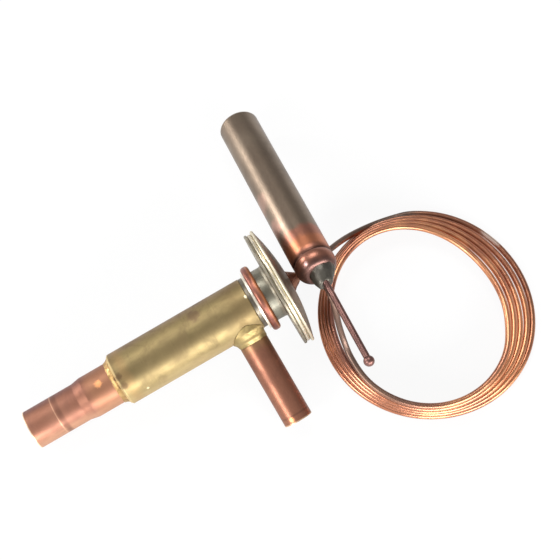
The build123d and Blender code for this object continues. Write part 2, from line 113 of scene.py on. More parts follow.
@dataclass(frozen=True)
class Places:
    """The axes of the valve, of its side inlet and of its bulb, read from the record's mounts."""

    inlet_reach: float = 39.25
    bulb_middle: float = 32.2

    def _mount(self, name: str) -> tuple[Vector, Vector]:
        """The place and the direction of one of the record's mounts."""
        mount = next(m for m in frame["record"]["mounts"] if m["name"] == name)
        return Vector(mount["pos_m"]), Vector(mount["axis"]).normalized()

    def valve(self) -> Axes:
        """The valve's axes: the origin at the outlet's mouth, along its axis to the head."""
        mouth, outward = self._mount("outlet_bore")
        return Axes(mouth, -outward, Vector((0, 1, 0)))

    def inlet(self) -> Axes:
        """The inlet's axes: the origin on the valve's axis, along the tube to its mouth."""
        mouth, outward = self._mount("inlet_bore")
        return Axes(mouth - outward * self.inlet_reach * MM, outward, self.valve().along)

    def bulb(self) -> Axes:
        """The bulb's axes: the origin at its far end, along it to the neck."""
        middle, outward = self._mount("bulb_barrel")
        along = -outward
        side = Vector((0, 0, 1)).cross(along).normalized()
        return Axes(middle - along * self.bulb_middle * MM, along, side)

    def from_mouth(self, x: float, y: float, height: float) -> Vector:
        """A place past the outlet's mouth, at a height over the table.

        Args:
            x: Millimetres towards the head.
            y: Millimetres away from the inlet.
            height: Millimetres over the table.

        Returns:
            The place, in metres, in the row frame.
        """
        mouth = self.valve().origin
        return Vector((mouth.x + x * MM, mouth.y + y * MM, height * MM))


PLACES = Places()


# ---- shader building --------------------------------------------------------------------------


class Field:
    """A number that varies over a surface, which Python's operators turn into Math nodes."""

    def __init__(self, kit: "NodeKit", socket: bpy.types.NodeSocket) -> None:
        """Wraps one output socket.

        Args:
            kit: The material's node maker.
            socket: The output that carries the number.
        """
        self.kit = kit
        self.socket = socket

    def _math(self, operation: str, *values: Any, clamp: bool = False) -> "Field":
        """A Math node on these values, in order."""
        settings = {"operation": operation, "use_clamp": clamp}
        node = self.kit.node("ShaderNodeMath", settings, dict(enumerate(values)))
        return Field(self.kit, node.outputs[0])

    def __add__(self, other: "Field | float") -> "Field":
        """The sum."""
        return self._math("ADD", self, other)

    def __radd__(self, other: float) -> "Field":
        """The sum, with the number first."""
        return self._math("ADD", other, self)

    def __sub__(self, other: "Field | float") -> "Field":
        """The difference."""
        return self._math("SUBTRACT", self, other)

    def __rsub__(self, other: float) -> "Field":
        """The difference, with the number first."""
        return self._math("SUBTRACT", other, self)

    def __mul__(self, other: "Field | float") -> "Field":
        """The product."""
        return self._math("MULTIPLY", self, other)

    def __rmul__(self, other: float) -> "Field":
        """The product, with the number first."""
        return self._math("MULTIPLY", other, self)

    def __truediv__(self, other: "Field | float") -> "Field":
        """The quotient."""
        return self._math("DIVIDE", self, other)

    def clamp(self) -> "Field":
        """The number kept from 0 to 1."""
        return self._math("ADD", self, 0.0, clamp=True)

    def magnitude(self) -> "Field":
        """The number without its sign."""
        return self._math("ABSOLUTE", self)

    def sine(self) -> "Field":
        """The sine."""
        return self._math("SINE", self)

    def angle_from(self, other: "Field") -> "Field":
        """The angle of the point (other, self), in radians."""
        return self._math("ARCTAN2", self, other)

    def root(self) -> "Field":
        """The square root."""
        return self._math("SQRT", self)

    def largest(self, other: "Field | float") -> "Field":
        """The larger of two."""
        return self._math("MAXIMUM", self, other)

    def step(self, low: float, high: float) -> "Field":
        """A smooth rise from 0 at low to 1 at high, or a fall where low is the larger.

        Args:
            low: Where it is 0.
            high: Where it is 1.

        Returns:
            The rise, from 0 to 1.
        """
        settings = {"interpolation_type": "SMOOTHSTEP"}
        start, end = (low, high) if low < high else (high, low)
        values = {"Value": self, "From Min": start, "From Max": end}
        rise = Field(self.kit, self.kit.node("ShaderNodeMapRange", settings, values).outputs[0])
        return rise if low < high else 1.0 - rise


class NodeKit:
    """One material's node tree, with the few ways of adding to it that the finishes use."""

    def __init__(self, name: str, world: bpy.types.World | None = None) -> None:
        """Starts an empty material, or empties the tree of a world.

        Args:
            name: The material's name.
            world: The world that the nodes are for, in place of a material.
        """
        self.material = world or bpy.data.materials.new(name)
        self.material.use_nodes = True
        self.tree = self.material.node_tree
        self.tree.nodes.clear()

    def node(self, kind: str, settings: dict[str, Any] | None = None,
             inputs: dict[str | int, Any] | None = None) -> bpy.types.Node:
        """Adds one node.

        Args:
            kind: The node's type.
            settings: Its settings, which are set first.
            inputs: The values or links of its sockets, by name or number.

        Returns:
            The node.
        """
        made = self.tree.nodes.new(kind)
        for key, value in (settings or {}).items():
            setattr(made, key, value)
        for key, value in (inputs or {}).items():
            if isinstance(value, Field):
                value = value.socket
            if isinstance(value, bpy.types.NodeSocket):
                self.tree.links.new(value, made.inputs[key])
            else:
                made.inputs[key].default_value = value
        return made

    def local(self, axes: Axes) -> tuple[Field, Field, Field]:
        """Millimetres along, across and up a set of axes, from Object coordinates.

        Args:
            axes: The axes, in the row frame.

        Returns:
            The three distances.
        """
        where = self.node("ShaderNodeTexCoord").outputs["Object"]
        turn = axes.matrix().to_euler()
        turned = self.node(
            "ShaderNodeMapping", {"vector_type": "TEXTURE"},
            {"Vector": where, "Location": axes.origin, "Rotation": turn, "Scale": (MM, MM, MM)})
        split = self.node("ShaderNodeSeparateXYZ", None, {0: turned.outputs[0]})
        return tuple(Field(self, split.outputs[i]) for i in range(3))

    def vector(self, x: Any, y: Any, z: Any) -> bpy.types.NodeSocket:
        """Three numbers as one vector."""
        return self.node("ShaderNodeCombineXYZ", None, {0: x, 1: y, 2: z}).outputs[0]

    def noise(self, place: bpy.types.NodeSocket, scale: float, detail: float = 3.0,
              roughness: float = 0.55, distortion: float = 0.0) -> Field:
        """Smooth random numbers, mostly from 0.3 to 0.7.

        Args:
            place: Where the pattern is read.
            scale: Patches for each unit of the place.
            detail: How many finer layers are added.
            roughness: How strong the finer layers are.
            distortion: How far the pattern is pulled about.

        Returns:
            The number.
        """
        values = {"Vector": place, "Scale": scale, "Detail": detail, "Roughness": roughness,
                  "Distortion": distortion}
        return Field(self, self.node("ShaderNodeTexNoise", None, values).outputs[0])

    def blend(self, mask: Field | float, under: Any, over: Any) -> bpy.types.NodeSocket:
        """Two colours mixed by a mask.

        Args:
            mask: 0 shows the colour under, 1 the colour over.
            under: A colour or a colour socket.
            over: A colour or a colour socket.

        Returns:
            The mixed colour.
        """
        values = {0: mask, 6: self._paint(under), 7: self._paint(over)}
        return self.node("ShaderNodeMix", {"data_type": "RGBA"}, values).outputs[2]

    @staticmethod
    def _paint(colour: Any) -> Any:
        """A colour as a node takes it, or the socket as it is."""
        return linear(colour) if isinstance(colour, tuple) else colour

    def surface(self, colour: Any, roughness: Field | float, metallic: Field | float,
                height: Field | None = None, depth: float = 0.05 * MM) -> bpy.types.Material:
        """Ends the material with its shader.

        Args:
            colour: The base colour.
            roughness: From 0, a mirror, to 1.
            metallic: 1 is bare metal.
            height: How far the surface stands out, from 0 to 1.
            depth: How far, in metres, a height of 1 stands out.

        Returns:
            The material.
        """
        values = {"Base Color": self._paint(colour), "Roughness": roughness, "Metallic": metallic}
        if height is not None:
            bump = self.node("ShaderNodeBump", None, {"Height": height, "Distance": depth})
            values["Normal"] = bump.outputs[0]
        shader = self.node("ShaderNodeBsdfPrincipled", None, values)
        self.node("ShaderNodeOutputMaterial", None, {"Surface": shader.outputs[0]})
        return self.material


# ---- finishes -----------------------------------------------------------------------------------


class Finish(Protocol):
    """Anything that makes a material."""

    def build(self) -> bpy.types.Material:
        """Makes the material."""


class Grain(Enum):
    """Which way the fine tool marks of a surface run.

    The numbers say how fast the marks change along a piece, round it and out from its axis, and
    how rough they are.
    """

    AROUND = (3.2, 0.35, 0.4, 0.75)
    ALONG = (0.12, 9.0, 0.2, 0.7)
    OUTWARD = (0.4, 0.5, 3.0, 0.75)
    NONE = (1.1, 1.1, 1.1, 0.6)


@dataclass(frozen=True)
class Band:
    """A belt of another colour round a piece, between two places along it, in millimetres."""

    low: float
    high: float
    colour: Colour
    strength: float = 1.0
    soft: float = 0.4
    wander: float = 0.0


@dataclass(frozen=True)
class Mark:
    """A stain, burn, bright spot or painted highlight at a place on a piece, in millimetres of its
    axes.
    """

    place: tuple[float, float, float]
    size: float
    colour: Colour
    strength: float = 1.0


@dataclass(frozen=True)
class PaintedLightStreak:
    """A long stripe on one side of a round piece: a painted highlight where it is lighter, painted
    shade where it is darker.
    """

    angle: float
    width: float
    colour: Colour
    strength: float = 0.5


@dataclass(frozen=True)
class MetalFinish:
    """Worn metal: a base colour with dull and bright patches, tool marks, belts and stains, and
    some stripes, belts and marks of painted highlight and painted shade.
    """

    name: str
    axes: Axes
    base: Colour
    dull: Colour
    bright: Colour
    patch: float = 5.0
    dullness: float = 0.6
    brightness: float = 0.4
    speckle: float = 0.35
    grain: Grain = Grain.NONE
    grain_depth: float = 0.25
    roughness: tuple[float, float] = (0.28, 0.5)
    metallic: float = 0.92
    ripple: float = 0.6
    depth: float = 0.12
    bands: tuple[Band, ...] = ()
    # Stripes of painted highlight and painted shade along one side of the piece.
    painted_light_streaks: tuple[PaintedLightStreak, ...] = ()
    marks: tuple[Mark, ...] = ()

    def build(self) -> bpy.types.Material:
        """Makes the material."""
        kit = NodeKit(self.name)
        along, across, up = kit.local(self.axes)
        place = kit.vector(along, across, up)
        patches = kit.noise(place, 1.0 / self.patch, 4.0, 0.6, 0.6)
        shine = kit.noise(kit.vector(along + 31.0, across, up), 0.7 / self.patch, 3.0)
        specks = kit.noise(place, 2.6, 4.0, 0.7)
        lines = self._lines(kit, along, across, up)

        dull = (patches + (lines - 0.5) * 0.3).step(0.4, 0.72) * self.dullness
        colour = kit.blend(dull, self.base, self.dull)
        light = (shine + (lines - 0.5) * 0.3).step(0.44, 0.78) * self.brightness
        colour = kit.blend(light, colour, self.bright)
        colour = kit.blend(specks.step(0.58, 0.74) * self.speckle, colour, self.dull)
        # Painted light: each stripe lays a painted highlight or painted shade along one side.
        for streak in self.painted_light_streaks:
            mask = self._stripe(kit, streak, along, across, up)
            colour = kit.blend(mask, colour, streak.colour)
        for band in self.bands:
            colour = kit.blend(self._belt(kit, band, along, place), colour, band.colour)
        for mark in self.marks:
            colour = kit.blend(self._spot(kit, mark, along, across, up), colour, mark.colour)

        low, high = self.roughness
        roughness = low + (high - low) * (patches.step(0.3, 0.75) * 0.8 + lines * 0.3)
        swell = kit.noise(place, 0.16, 2.0, 0.4) * self.ripple
        height = swell + lines * self.grain_depth + specks * 0.12
        return kit.surface(colour, roughness.clamp(), self.metallic, height, self.depth * MM)

    def _lines(self, kit: NodeKit, along: Field, across: Field, up: Field) -> Field:
        """The tool marks, from 0 to 1, stretched the way that they run."""
        fast_along, fast_round, fast_out, rough = self.grain.value
        if self.grain is Grain.NONE:
            return kit.noise(kit.vector(along, across, up), fast_along, 3.0, rough)
        radius = (across * across + up * up).root()
        stretched = [along * fast_along, up.angle_from(across) * fast_round, radius * fast_out]
        if self.grain is Grain.OUTWARD:
            stretched.reverse()
        return kit.noise(kit.vector(*stretched), 1.0, 3.0, rough)

    def _stripe(self, kit: NodeKit, streak: PaintedLightStreak, along: Field, across: Field,
                up: Field) -> Field:
        """The mask of a stripe of painted highlight or painted shade, which wanders and breaks up
        along the piece.
        """
        turn = math.radians(streak.angle)
        facing = (across * math.cos(turn) + up * math.sin(turn))
        facing = facing / ((across * across + up * up).root() + 0.001)
        drift = kit.noise(kit.vector(along * 0.09, across * 0.25, up * 0.25), 1.0, 3.0) - 0.5
        edge = math.cos(math.radians(streak.width))
        return (facing + drift * 0.35).step(edge - 0.12, min(1.0, edge + 0.2)) * streak.strength

    def _belt(self, kit: NodeKit, band: Band, along: Field, place: Any) -> Field:
        """A band's mask."""
        here = along + (kit.noise(place, 0.35, 2.0) - 0.5) * band.wander if band.wander else along
        rise = here.step(band.low - band.soft, band.low + band.soft)
        fall = here.step(band.high + band.soft, band.high - band.soft)
        return rise * fall * band.strength

    def _spot(self, kit: NodeKit, mark: Mark, along: Field, across: Field, up: Field) -> Field:
        """A mark's mask, with an uneven edge."""
        gaps = [axis - at for axis, at in zip((along, across, up), mark.place)]
        far = (gaps[0] * gaps[0] + gaps[1] * gaps[1] + gaps[2] * gaps[2]).root()
        edge = kit.noise(kit.vector(along, across, up), 2.2 / mark.size, 2.0) - 0.5
        return (far + edge * mark.size * 0.9).step(mark.size, mark.size * 0.35) * mark.strength


@dataclass(frozen=True)
class CapillaryFinish:
    """Drawn copper line: orange with brighter patches at random, brown and dull near its joints.
    """

    name: str
    axes: Axes
    fresh: Colour = (194, 128, 98)
    bright: Colour = (234, 166, 120)
    brown: Colour = (136, 94, 76)
    plum: Colour = (142, 98, 90)
    grey: Colour = (112, 94, 84)
    pale: Colour = (222, 198, 184)
    bare_patch: tuple[float, float] = (23.3, 27.9)
    bare_fade: tuple[float, float] = (4.6, 2.2)
    bare_rim: tuple[float, float] = (33.8, 35.0)
    edge_wander: float = 6.0
    outer_rim: tuple[float, float] = (33.6, 36.2)
    outer_side: tuple[float, float] = (-30.0, 12.0)
    top_height: tuple[float, float] = (7.0, 9.0)
    top_rim: tuple[float, float] = (32.4, 29.5)
    joint_height: tuple[float, float] = (9.8, 12.5)
    leaving_rim: tuple[float, float] = (35.2, 35.9)
    leaving_along: tuple[float, float] = (2.0, -5.0)
    leaving_across: tuple[float, float] = (0.0, 5.0)

    def build(self) -> bpy.types.Material:
        """Makes the material."""
        kit = NodeKit(self.name)
        along, across, up = kit.local(self.axes)
        place = kit.vector(along, across, up)
        slow = kit.noise(place, 0.05, 2.0, 0.5)
        patches = kit.noise(place, 0.45, 4.0, 0.65, 0.5)
        specks = kit.noise(place, 2.4, 4.0, 0.7)
        colour = kit.blend(patches.step(0.4, 0.68) * 0.3, self.fresh, self.brown)
        colour = kit.blend(slow.step(0.48, 0.6) * 0.6, colour, self.bright)
        radius = (along * along + across * across).root()
        edge = radius + (slow - 0.5) * self.edge_wander
        outside = edge.step(*self.outer_rim) * across.step(*self.outer_side)
        colour = kit.blend(outside * 0.75, colour, self.brown)
        top = up.step(*self.top_height) * edge.step(*self.top_rim)
        colour = kit.blend(top * 0.8, colour, self.plum)
        leaving = radius.step(*self.leaving_rim) * along.step(*self.leaving_along)
        leaving = leaving * across.step(*self.leaving_across)
        joint = up.step(*self.joint_height).largest(leaving)
        grime = (joint * 0.9 + specks.step(0.6, 0.75) * 0.15).clamp()
        colour = kit.blend(grime, colour, self.grey)
        gap = [axis - at for axis, at in zip((along, across), self.bare_patch)]
        far = (gap[0] * gap[0] + gap[1] * gap[1]).root() + (patches - 0.5) * 3.0
        bare = far.step(*self.bare_fade) * edge.step(*self.bare_rim)
        colour = kit.blend(bare * 0.75, colour, self.pale)
        roughness = 0.22 + 0.16 * slow + 0.14 * joint
        waver = kit.noise(place, 0.22, 1.0, 0.4)
        return kit.surface(colour, roughness.clamp(), 0.92, waver, 0.12 * MM)


@dataclass(frozen=True)
class RubberFinish:
    """Dull black sealing rubber with a faint mould texture."""

    name: str
    axes: Axes

    def build(self) -> bpy.types.Material:
        """Makes the material."""
        kit = NodeKit(self.name)
        place = kit.vector(*kit.local(self.axes))
        grain = kit.noise(place, 3.0, 4.0, 0.7)
        colour = kit.blend(grain.step(0.4, 0.7), (38, 36, 34), (66, 62, 58))
        return kit.surface(colour, 0.55 + 0.3 * grain, 0.0, grain, 0.03 * MM)


@dataclass(frozen=True)
class MeshFinish:
    """Woven wire: bright crossings over dark openings, in rows round a tube."""

    name: str
    axes: Axes
    rows_per_mm: float = 2.2

    def build(self) -> bpy.types.Material:
        """Makes the material."""
        kit = NodeKit(self.name)
        along, across, up = kit.local(self.axes)
        turns = 2 * math.pi * self.rows_per_mm
        rows = (along * turns).sine().magnitude()
        angle = up.angle_from(across)
        posts = (angle * turns * 3.3 / 2).sine().magnitude()
        wire = rows.largest(posts)
        colour = kit.blend(wire.step(0.45, 0.85), (46, 42, 36), (196, 190, 176))
        return kit.surface(colour, 0.35 + 0.3 * (1.0 - wire), 0.85, wire, 0.12 * MM)


# ---- pieces -------------------------------------------------------------------------------------


def put(name: str, data: bpy.types.ID) -> bpy.types.Object:
    """Puts a new object of this data into the scene."""
    made = bpy.data.objects.new(name, data)
    bpy.context.scene.collection.objects.link(made)
    return made


def dress(nodes: Sequence[str], finish: Finish) -> None:
    """Gives CAD nodes one finish.

    Args:
        nodes: The nodes' names.
        finish: The finish.
    """
    material = finish.build()
    for node in nodes:
        piece = frame["nodes"][node]
        if not piece.material_slots:
            piece.data.materials.append(material)
        for slot in piece.material_slots:
            slot.material = material
        LOG.info("dressed %s as %s", node, material.name)


def add_piece(name: str, shape: bmesh.types.BMesh, finish: Finish,
              replaced: Sequence[str], bend: tuple[Vector, Vector] | None = None) -> None:
    """Makes a shown object of a shape that is already in its place.

    Args:
        name: The piece's name.
        shape: Its shape, in the row frame.
        finish: Its finish.
        replaced: The CAD nodes that it stands for.
        bend: Two points; when they are given, the piece's place is baked into its mesh and it is
            not attached to the valve.
    """
    mesh = to_mesh(shape, name)
    mesh.materials.append(finish.build())
    piece = put(name, mesh)
    if bend:
        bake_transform(piece)
    else:
        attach(piece, "valve")
    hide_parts(*replaced)
    LOG.info("built %s with %d faces", name, len(mesh.polygons))


def to_mesh(shape: bmesh.types.BMesh, name: str) -> bpy.types.Mesh:
    """Ends a bmesh as a named mesh with smooth shading.

    Args:
        shape: The shape, in the row frame.
        name: The mesh's name.

    Returns:
        The mesh.
    """
    for face in shape.faces:
        face.smooth = True
    mesh = bpy.data.meshes.new(name)
    shape.to_mesh(mesh)
    shape.free()
    return mesh


def spun(outline: Sequence[tuple[float, float]], axes: Axes, steps: int = 120,
         closed: bool = False) -> bmesh.types.BMesh:
    """Turns an outline round the first of a set of axes.

    Args:
        outline: Millimetres along the axis and out from it, in order.
        axes: The axes.
        steps: Faces in a full turn.
        closed: Whether the outline is joined to its start, as a ring's is.

    Returns:
        The turned shape, in the row frame.
    """
    shape = bmesh.new()
    points = [shape.verts.new((along * MM, 0.0, out * MM)) for along, out in outline]
    pairs = list(zip(points, points[1:])) + ([(points[-1], points[0])] if closed else [])
    edges = [shape.edges.new(pair) for pair in pairs]
    bmesh.ops.spin(shape, geom=points + edges, cent=(0, 0, 0), axis=(1, 0, 0), dvec=(0, 0, 0),
                   angle=2 * math.pi, steps=steps, use_merge=True, use_duplicate=False)
    bmesh.ops.remove_doubles(shape, verts=shape.verts, dist=1e-7)
    bmesh.ops.recalc_face_normals(shape, faces=shape.faces)
    bmesh.ops.transform(shape, matrix=axes.matrix(), verts=shape.verts)
    return shape


def arc(centre: tuple[float, float], radius: float, start: float, end: float,
        steps: int = 8) -> list[tuple[float, float]]:
    """Points on an arc of an outline.

    Args:
        centre: The arc's centre, along and out.
        radius: Its radius.
        start: Its first angle in degrees, from along towards out.
        end: Its last angle in degrees.
        steps: How many parts it has.

    Returns:
        The points.
    """
    angles = [math.radians(start + (end - start) * step / steps) for step in range(steps + 1)]
    return [(centre[0] + radius * math.cos(a), centre[1] + radius * math.sin(a)) for a in angles]


def reach(node: str, axes: Axes) -> tuple[float, float]:
    """How far a CAD node reaches along the first of a set of axes.

    Args:
        node: The node's name.
        axes: The axes.

    Returns:
        Its lowest and highest place in millimetres.
    """
    origin, heading = axes.point(0.0), axes.point(1.0) - axes.point(0.0)
    places = [(point.co - origin).dot(heading.normalized()) / MM
              for point in frame["nodes"][node].data.vertices]
    return min(places), max(places)


def melted(node: str, grid: float = 0.16, softness: int = 6, lumps: float = 0.12,
           lump_size: float = 1.6, fine_size: float = 0.35,
           fine_share: float = 0.4) -> bmesh.types.BMesh:
    """A CAD node's shape as run and set metal: remeshed, softened and lumpy.

    Args:
        node: The CAD node.
        grid: The remesh's voxel in millimetres.
        softness: How many times the points are evened out.
        lumps: How far the lumps stand out in millimetres.
        lump_size: How far apart they are in millimetres.
        fine_size: The small lumps' size as a share of the large ones'.
        fine_share: The small lumps' height as a share of the large ones'.

    Returns:
        The new shape, in the row frame.
    """
    shape = bmesh.new()
    shape.from_mesh(frame["nodes"][node].data)
    bmesh.ops.remove_doubles(shape, verts=shape.verts, dist=1e-6)
    bmesh.ops.scale(shape, vec=(1 / MM, 1 / MM, 1 / MM), verts=shape.verts)
    rough = put("rough", to_mesh(shape, "rough"))
    remesh = rough.modifiers.new("grid", "REMESH")
    remesh.mode = "VOXEL"
    remesh.voxel_size = grid
    soften = rough.modifiers.new("soften", "SMOOTH")
    soften.factor = 0.5
    soften.iterations = softness
    solved = rough.evaluated_get(bpy.context.evaluated_depsgraph_get())
    mesh = bpy.data.meshes.new_from_object(solved)
    bpy.data.objects.remove(rough)
    shape = bmesh.new()
    shape.from_mesh(mesh)
    bpy.data.meshes.remove(mesh)
    shape.normal_update()
    for point in shape.verts:
        fine = noise.noise(point.co / (fine_size * lump_size))
        swell = noise.noise(point.co / lump_size) + fine_share * fine
        point.co += point.normal * swell * lumps
    bmesh.ops.scale(shape, vec=(MM, MM, MM), verts=shape.verts)
    return shape


@dataclass
class Capillary:
    """The free line from the head to the bulb, wound in a loose coil between them."""

    name: str = "capillary_line"
    diameter: float = 2.0
    real_length: float = 1.03
    middle: tuple[float, float] = (127.6, -26.4)
    heading: float = -28.97
    first_turn: tuple[float, ...] = (35.08, 0.8, 1.5, 0.04, -0.33, 0.11, -0.28)
    each_turn: tuple[float, ...] = (-1.29, -0.69, -0.68, -0.3, -0.26, 0.06, 0.08)
    corner_allowance: float = 1.0086
    start_angle: float = 95.0
    turns: float = 4.625
    points_per_turn: int = 24
    low: float = 1.05
    rise: tuple[float, float, float] = (1.6, -0.45, -0.45)
    wander: float = 0.08
    wander_step: float = 2.1
    kink_angle: float = -5.0
    kink_width: float = 8.0
    kink_from: float = 2.0
    kink: float = 0.55
    roundness: int = 5
    smoothness: int = 6
    lead_in: tuple[tuple[float, float, float], ...] = (
        (95.13, 0.0, 20.56), (97.0, 0.1, 20.6), (99.0, 0.8, 19.0), (102.0, 2.1, 16.9),
        (106.4, 4.0, 14.6), (111.5, 6.2, 11.3), (117.6, 8.4, 6.9), (124.6, 9.6, 3.3),
        (131.0, 9.6, 1.8), (137.0, 8.8, 1.2))
    lead_out: tuple[tuple[float, float, float], ...] = (
        (98.0, -28.9, 12.0), (98.4, -23.9, 14.9), (98.4, -20.8, 20.0), (98.5, -18.6, 25.2),
        (98.8, -16.0, 30.2))
    lead_out_end: tuple[tuple[float, float], ...] = ((79.6, -1.1), (77.2, -1.1))

    def coil_point(self, turn: float) -> Vector:
        """A place on the coil, which spirals inwards as it climbs.

        Args:
            turn: How many turns have been wound before it.

        Returns:
            The place, in the row frame.
        """
        angle = math.radians(self.start_angle) - 2 * math.pi * turn
        waves = [1.0] + [wave(n * angle) for n in (1, 2, 3) for wave in (math.cos, math.sin)]
        radius = sum((first + turn * each) * wave for first, each, wave
                     in zip(self.first_turn, self.each_turn, waves))
        radius += self.wander * math.sin(2 * angle + self.wander_step * math.floor(turn))
        away = math.remainder(math.degrees(angle) - self.kink_angle, 360) / self.kink_width
        radius -= self.kink * math.exp(-away * away) * max(0.0, turn - self.kink_from) / 2
        radius *= self.corner_allowance
        flat, across, deep = self.rise
        height = self.low + turn * (flat + across * math.cos(angle) + deep * math.sin(angle))
        lean = angle + math.radians(self.heading)
        return PLACES.from_mouth(self.middle[0] + radius * math.cos(lean),
                                 self.middle[1] + radius * math.sin(lean), height)

    def route(self) -> list[Vector]:
        """The line's control points from the head's tip to the bulb's neck.

        Returns:
            The points, in the row frame.
        """
        points = [PLACES.from_mouth(*point) for point in self.lead_in]
        steps = int(self.turns * self.points_per_turn)
        points += [self.coil_point(step / self.points_per_turn) for step in range(steps + 1)]
        points += [PLACES.from_mouth(*point) for point in self.lead_out]
        bulb = PLACES.bulb()
        return points + [bulb.point(along, 0.0, up) for along, up in self.lead_out_end]

    def build(self) -> None:
        curve = bpy.data.curves.new(self.name, "CURVE")
        curve.dimensions = "3D"
        curve.bevel_depth = self.diameter / 2 * MM
        curve.bevel_resolution = self.roundness
        curve.resolution_u = self.smoothness
        curve.use_fill_caps = True
        spline = curve.splines.new("NURBS")
        route = self.route()
        spline.points.add(len(route) - 1)
        for point, place in zip(spline.points, route):
            point.co = (*place, 1.0)
        spline.order_u = 3
        spline.use_endpoint_u = True
        line = put(self.name, curve)
        curve.materials.append(CapillaryFinish("capillary_copper_line", self._pattern()).build())
        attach(line, "valve")
        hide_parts("capillary_lead_in", "capillary_coil", "capillary_lead_out")
        LOG.info("built %s from %d points", self.name, len(route))

    def _pattern(self) -> Axes:
        """The upright axes on the table at the coil's middle."""
        heading = math.radians(self.heading)
        along = Vector((math.cos(heading), math.sin(heading), 0))
        across = Vector((-math.sin(heading), math.cos(heading), 0))
        return Axes(PLACES.from_mouth(*self.middle, 0.0), along, across)


@dataclass
class OutletEnd:
    """The larger stub on the valve's axis with its fillet of braze."""

    def build(self) -> None:
        """Dresses the stub and builds its fillet."""
        axes = PLACES.valve()
        dress(["outlet_tube"], MetalFinish(
            "outlet_copper_tube", axes, (156, 108, 88), (118, 80, 70),
            (192, 144, 118), patch=9.0, dullness=0.5, brightness=0.18,
            grain=Grain.AROUND, grain_depth=0.08, roughness=(0.42, 0.54), ripple=0.12,
            # Painted light: painted shade along the upper back side and a painted peach highlight
            # along the lower front side.
            painted_light_streaks=(PaintedLightStreak(22.0, 34.0, (112, 76, 76), 0.65),
                     PaintedLightStreak(188.0, 36.0, (222, 174, 142), 0.6)),
            # The cream belt at the mouth is a painted highlight on its cut edge.
            bands=(Band(-1.0, 0.25, (240, 214, 178), 0.9, 0.15),
                   Band(10.0, 11.6, (112, 76, 64), 0.6, 0.5),
                   Band(9.4, 9.7, (214, 170, 140), 0.6, 0.2),
                   Band(21.5, 30.5, (180, 132, 98), 0.4, 1.6, 2.0)),
            # The bright orange spot on the swell is a painted glint.
            marks=(Mark((25.7, 0.2, 6.9), 1.7, (250, 176, 120), 0.85),)))
        finish = MetalFinish(
            "flux_stained_braze", axes, (176, 142, 92), (104, 80, 56),
            (216, 188, 134), patch=1.8, speckle=0.6, roughness=(0.36, 0.6), depth=0.3,
            marks=(Mark((30.8, -1.6, 8.0), 1.3, (84, 62, 46), 0.8),
                   Mark((31.5, -4.4, 6.9), 1.2, (84, 62, 46), 0.8)))
        add_piece("outlet_braze_fillet", melted("outlet_braze"), finish,
                  ["outlet_braze"])


@dataclass
class InletEnd:
    """The smaller stub at the valve's side with its saddle of braze and its strainer."""

    def build(self) -> None:
        """Dresses the stub and the strainer inside and builds the saddle."""
        axes = PLACES.inlet()
        dress(["inlet_tube"], MetalFinish(
            "inlet_copper_tube", axes, (148, 100, 80), (106, 72, 60),
            (188, 137, 110), patch=7.0, dullness=0.55, brightness=0.3,
            grain=Grain.ALONG, grain_depth=0.08, roughness=(0.36, 0.5), ripple=0.12,
            # Painted shade along the tube's lower side towards the head.
            painted_light_streaks=(PaintedLightStreak(-40.0, 30.0, (104, 68, 58), 0.5),),
            # The cream belt at the mouth is a painted highlight on its rim.
            bands=(Band(38.9, 41.0, (220, 182, 148), 0.8, 0.15),
                   Band(36.6, 37.1, (92, 62, 52), 0.45, 0.3),
                   Band(7.0, 13.0, (160, 130, 90), 0.45, 2.0, 2.0)),
            # The bright orange spot near the mouth is a painted glint.
            marks=(Mark((37.8, -1.8, 4.4), 1.1, (246, 164, 110), 0.8),)))
        finish = MetalFinish(
            "saddle_braze", axes, (158, 138, 92), (104, 88, 58),
            (200, 178, 128), patch=3.4, dullness=0.5, speckle=0.5,
            roughness=(0.42, 0.56), ripple=0.3, depth=0.2,
            marks=(Mark((7.3, -4.0, 8.6), 2.0, (84, 72, 40), 0.85),
                   # The two cream spots are painted highlights.
                   Mark((6.2, -4.8, 5.7), 0.9, (240, 222, 180), 0.9),
                   Mark((7.3, 5.0, 4.9), 1.0, (240, 222, 180), 0.8)))
        saddle = melted("inlet_braze", softness=14, lumps=0.1, lump_size=2.6)
        add_piece("inlet_saddle", saddle, finish, ["inlet_braze"])
        dress(["inlet_strainer"], MeshFinish("strainer_weave", axes))
        dress(["strainer_ferrule"], MetalFinish(
            "ferrule_brass", axes, (186, 160, 104), (120, 98, 62),
            (226, 204, 150), patch=2.0, grain=Grain.AROUND))


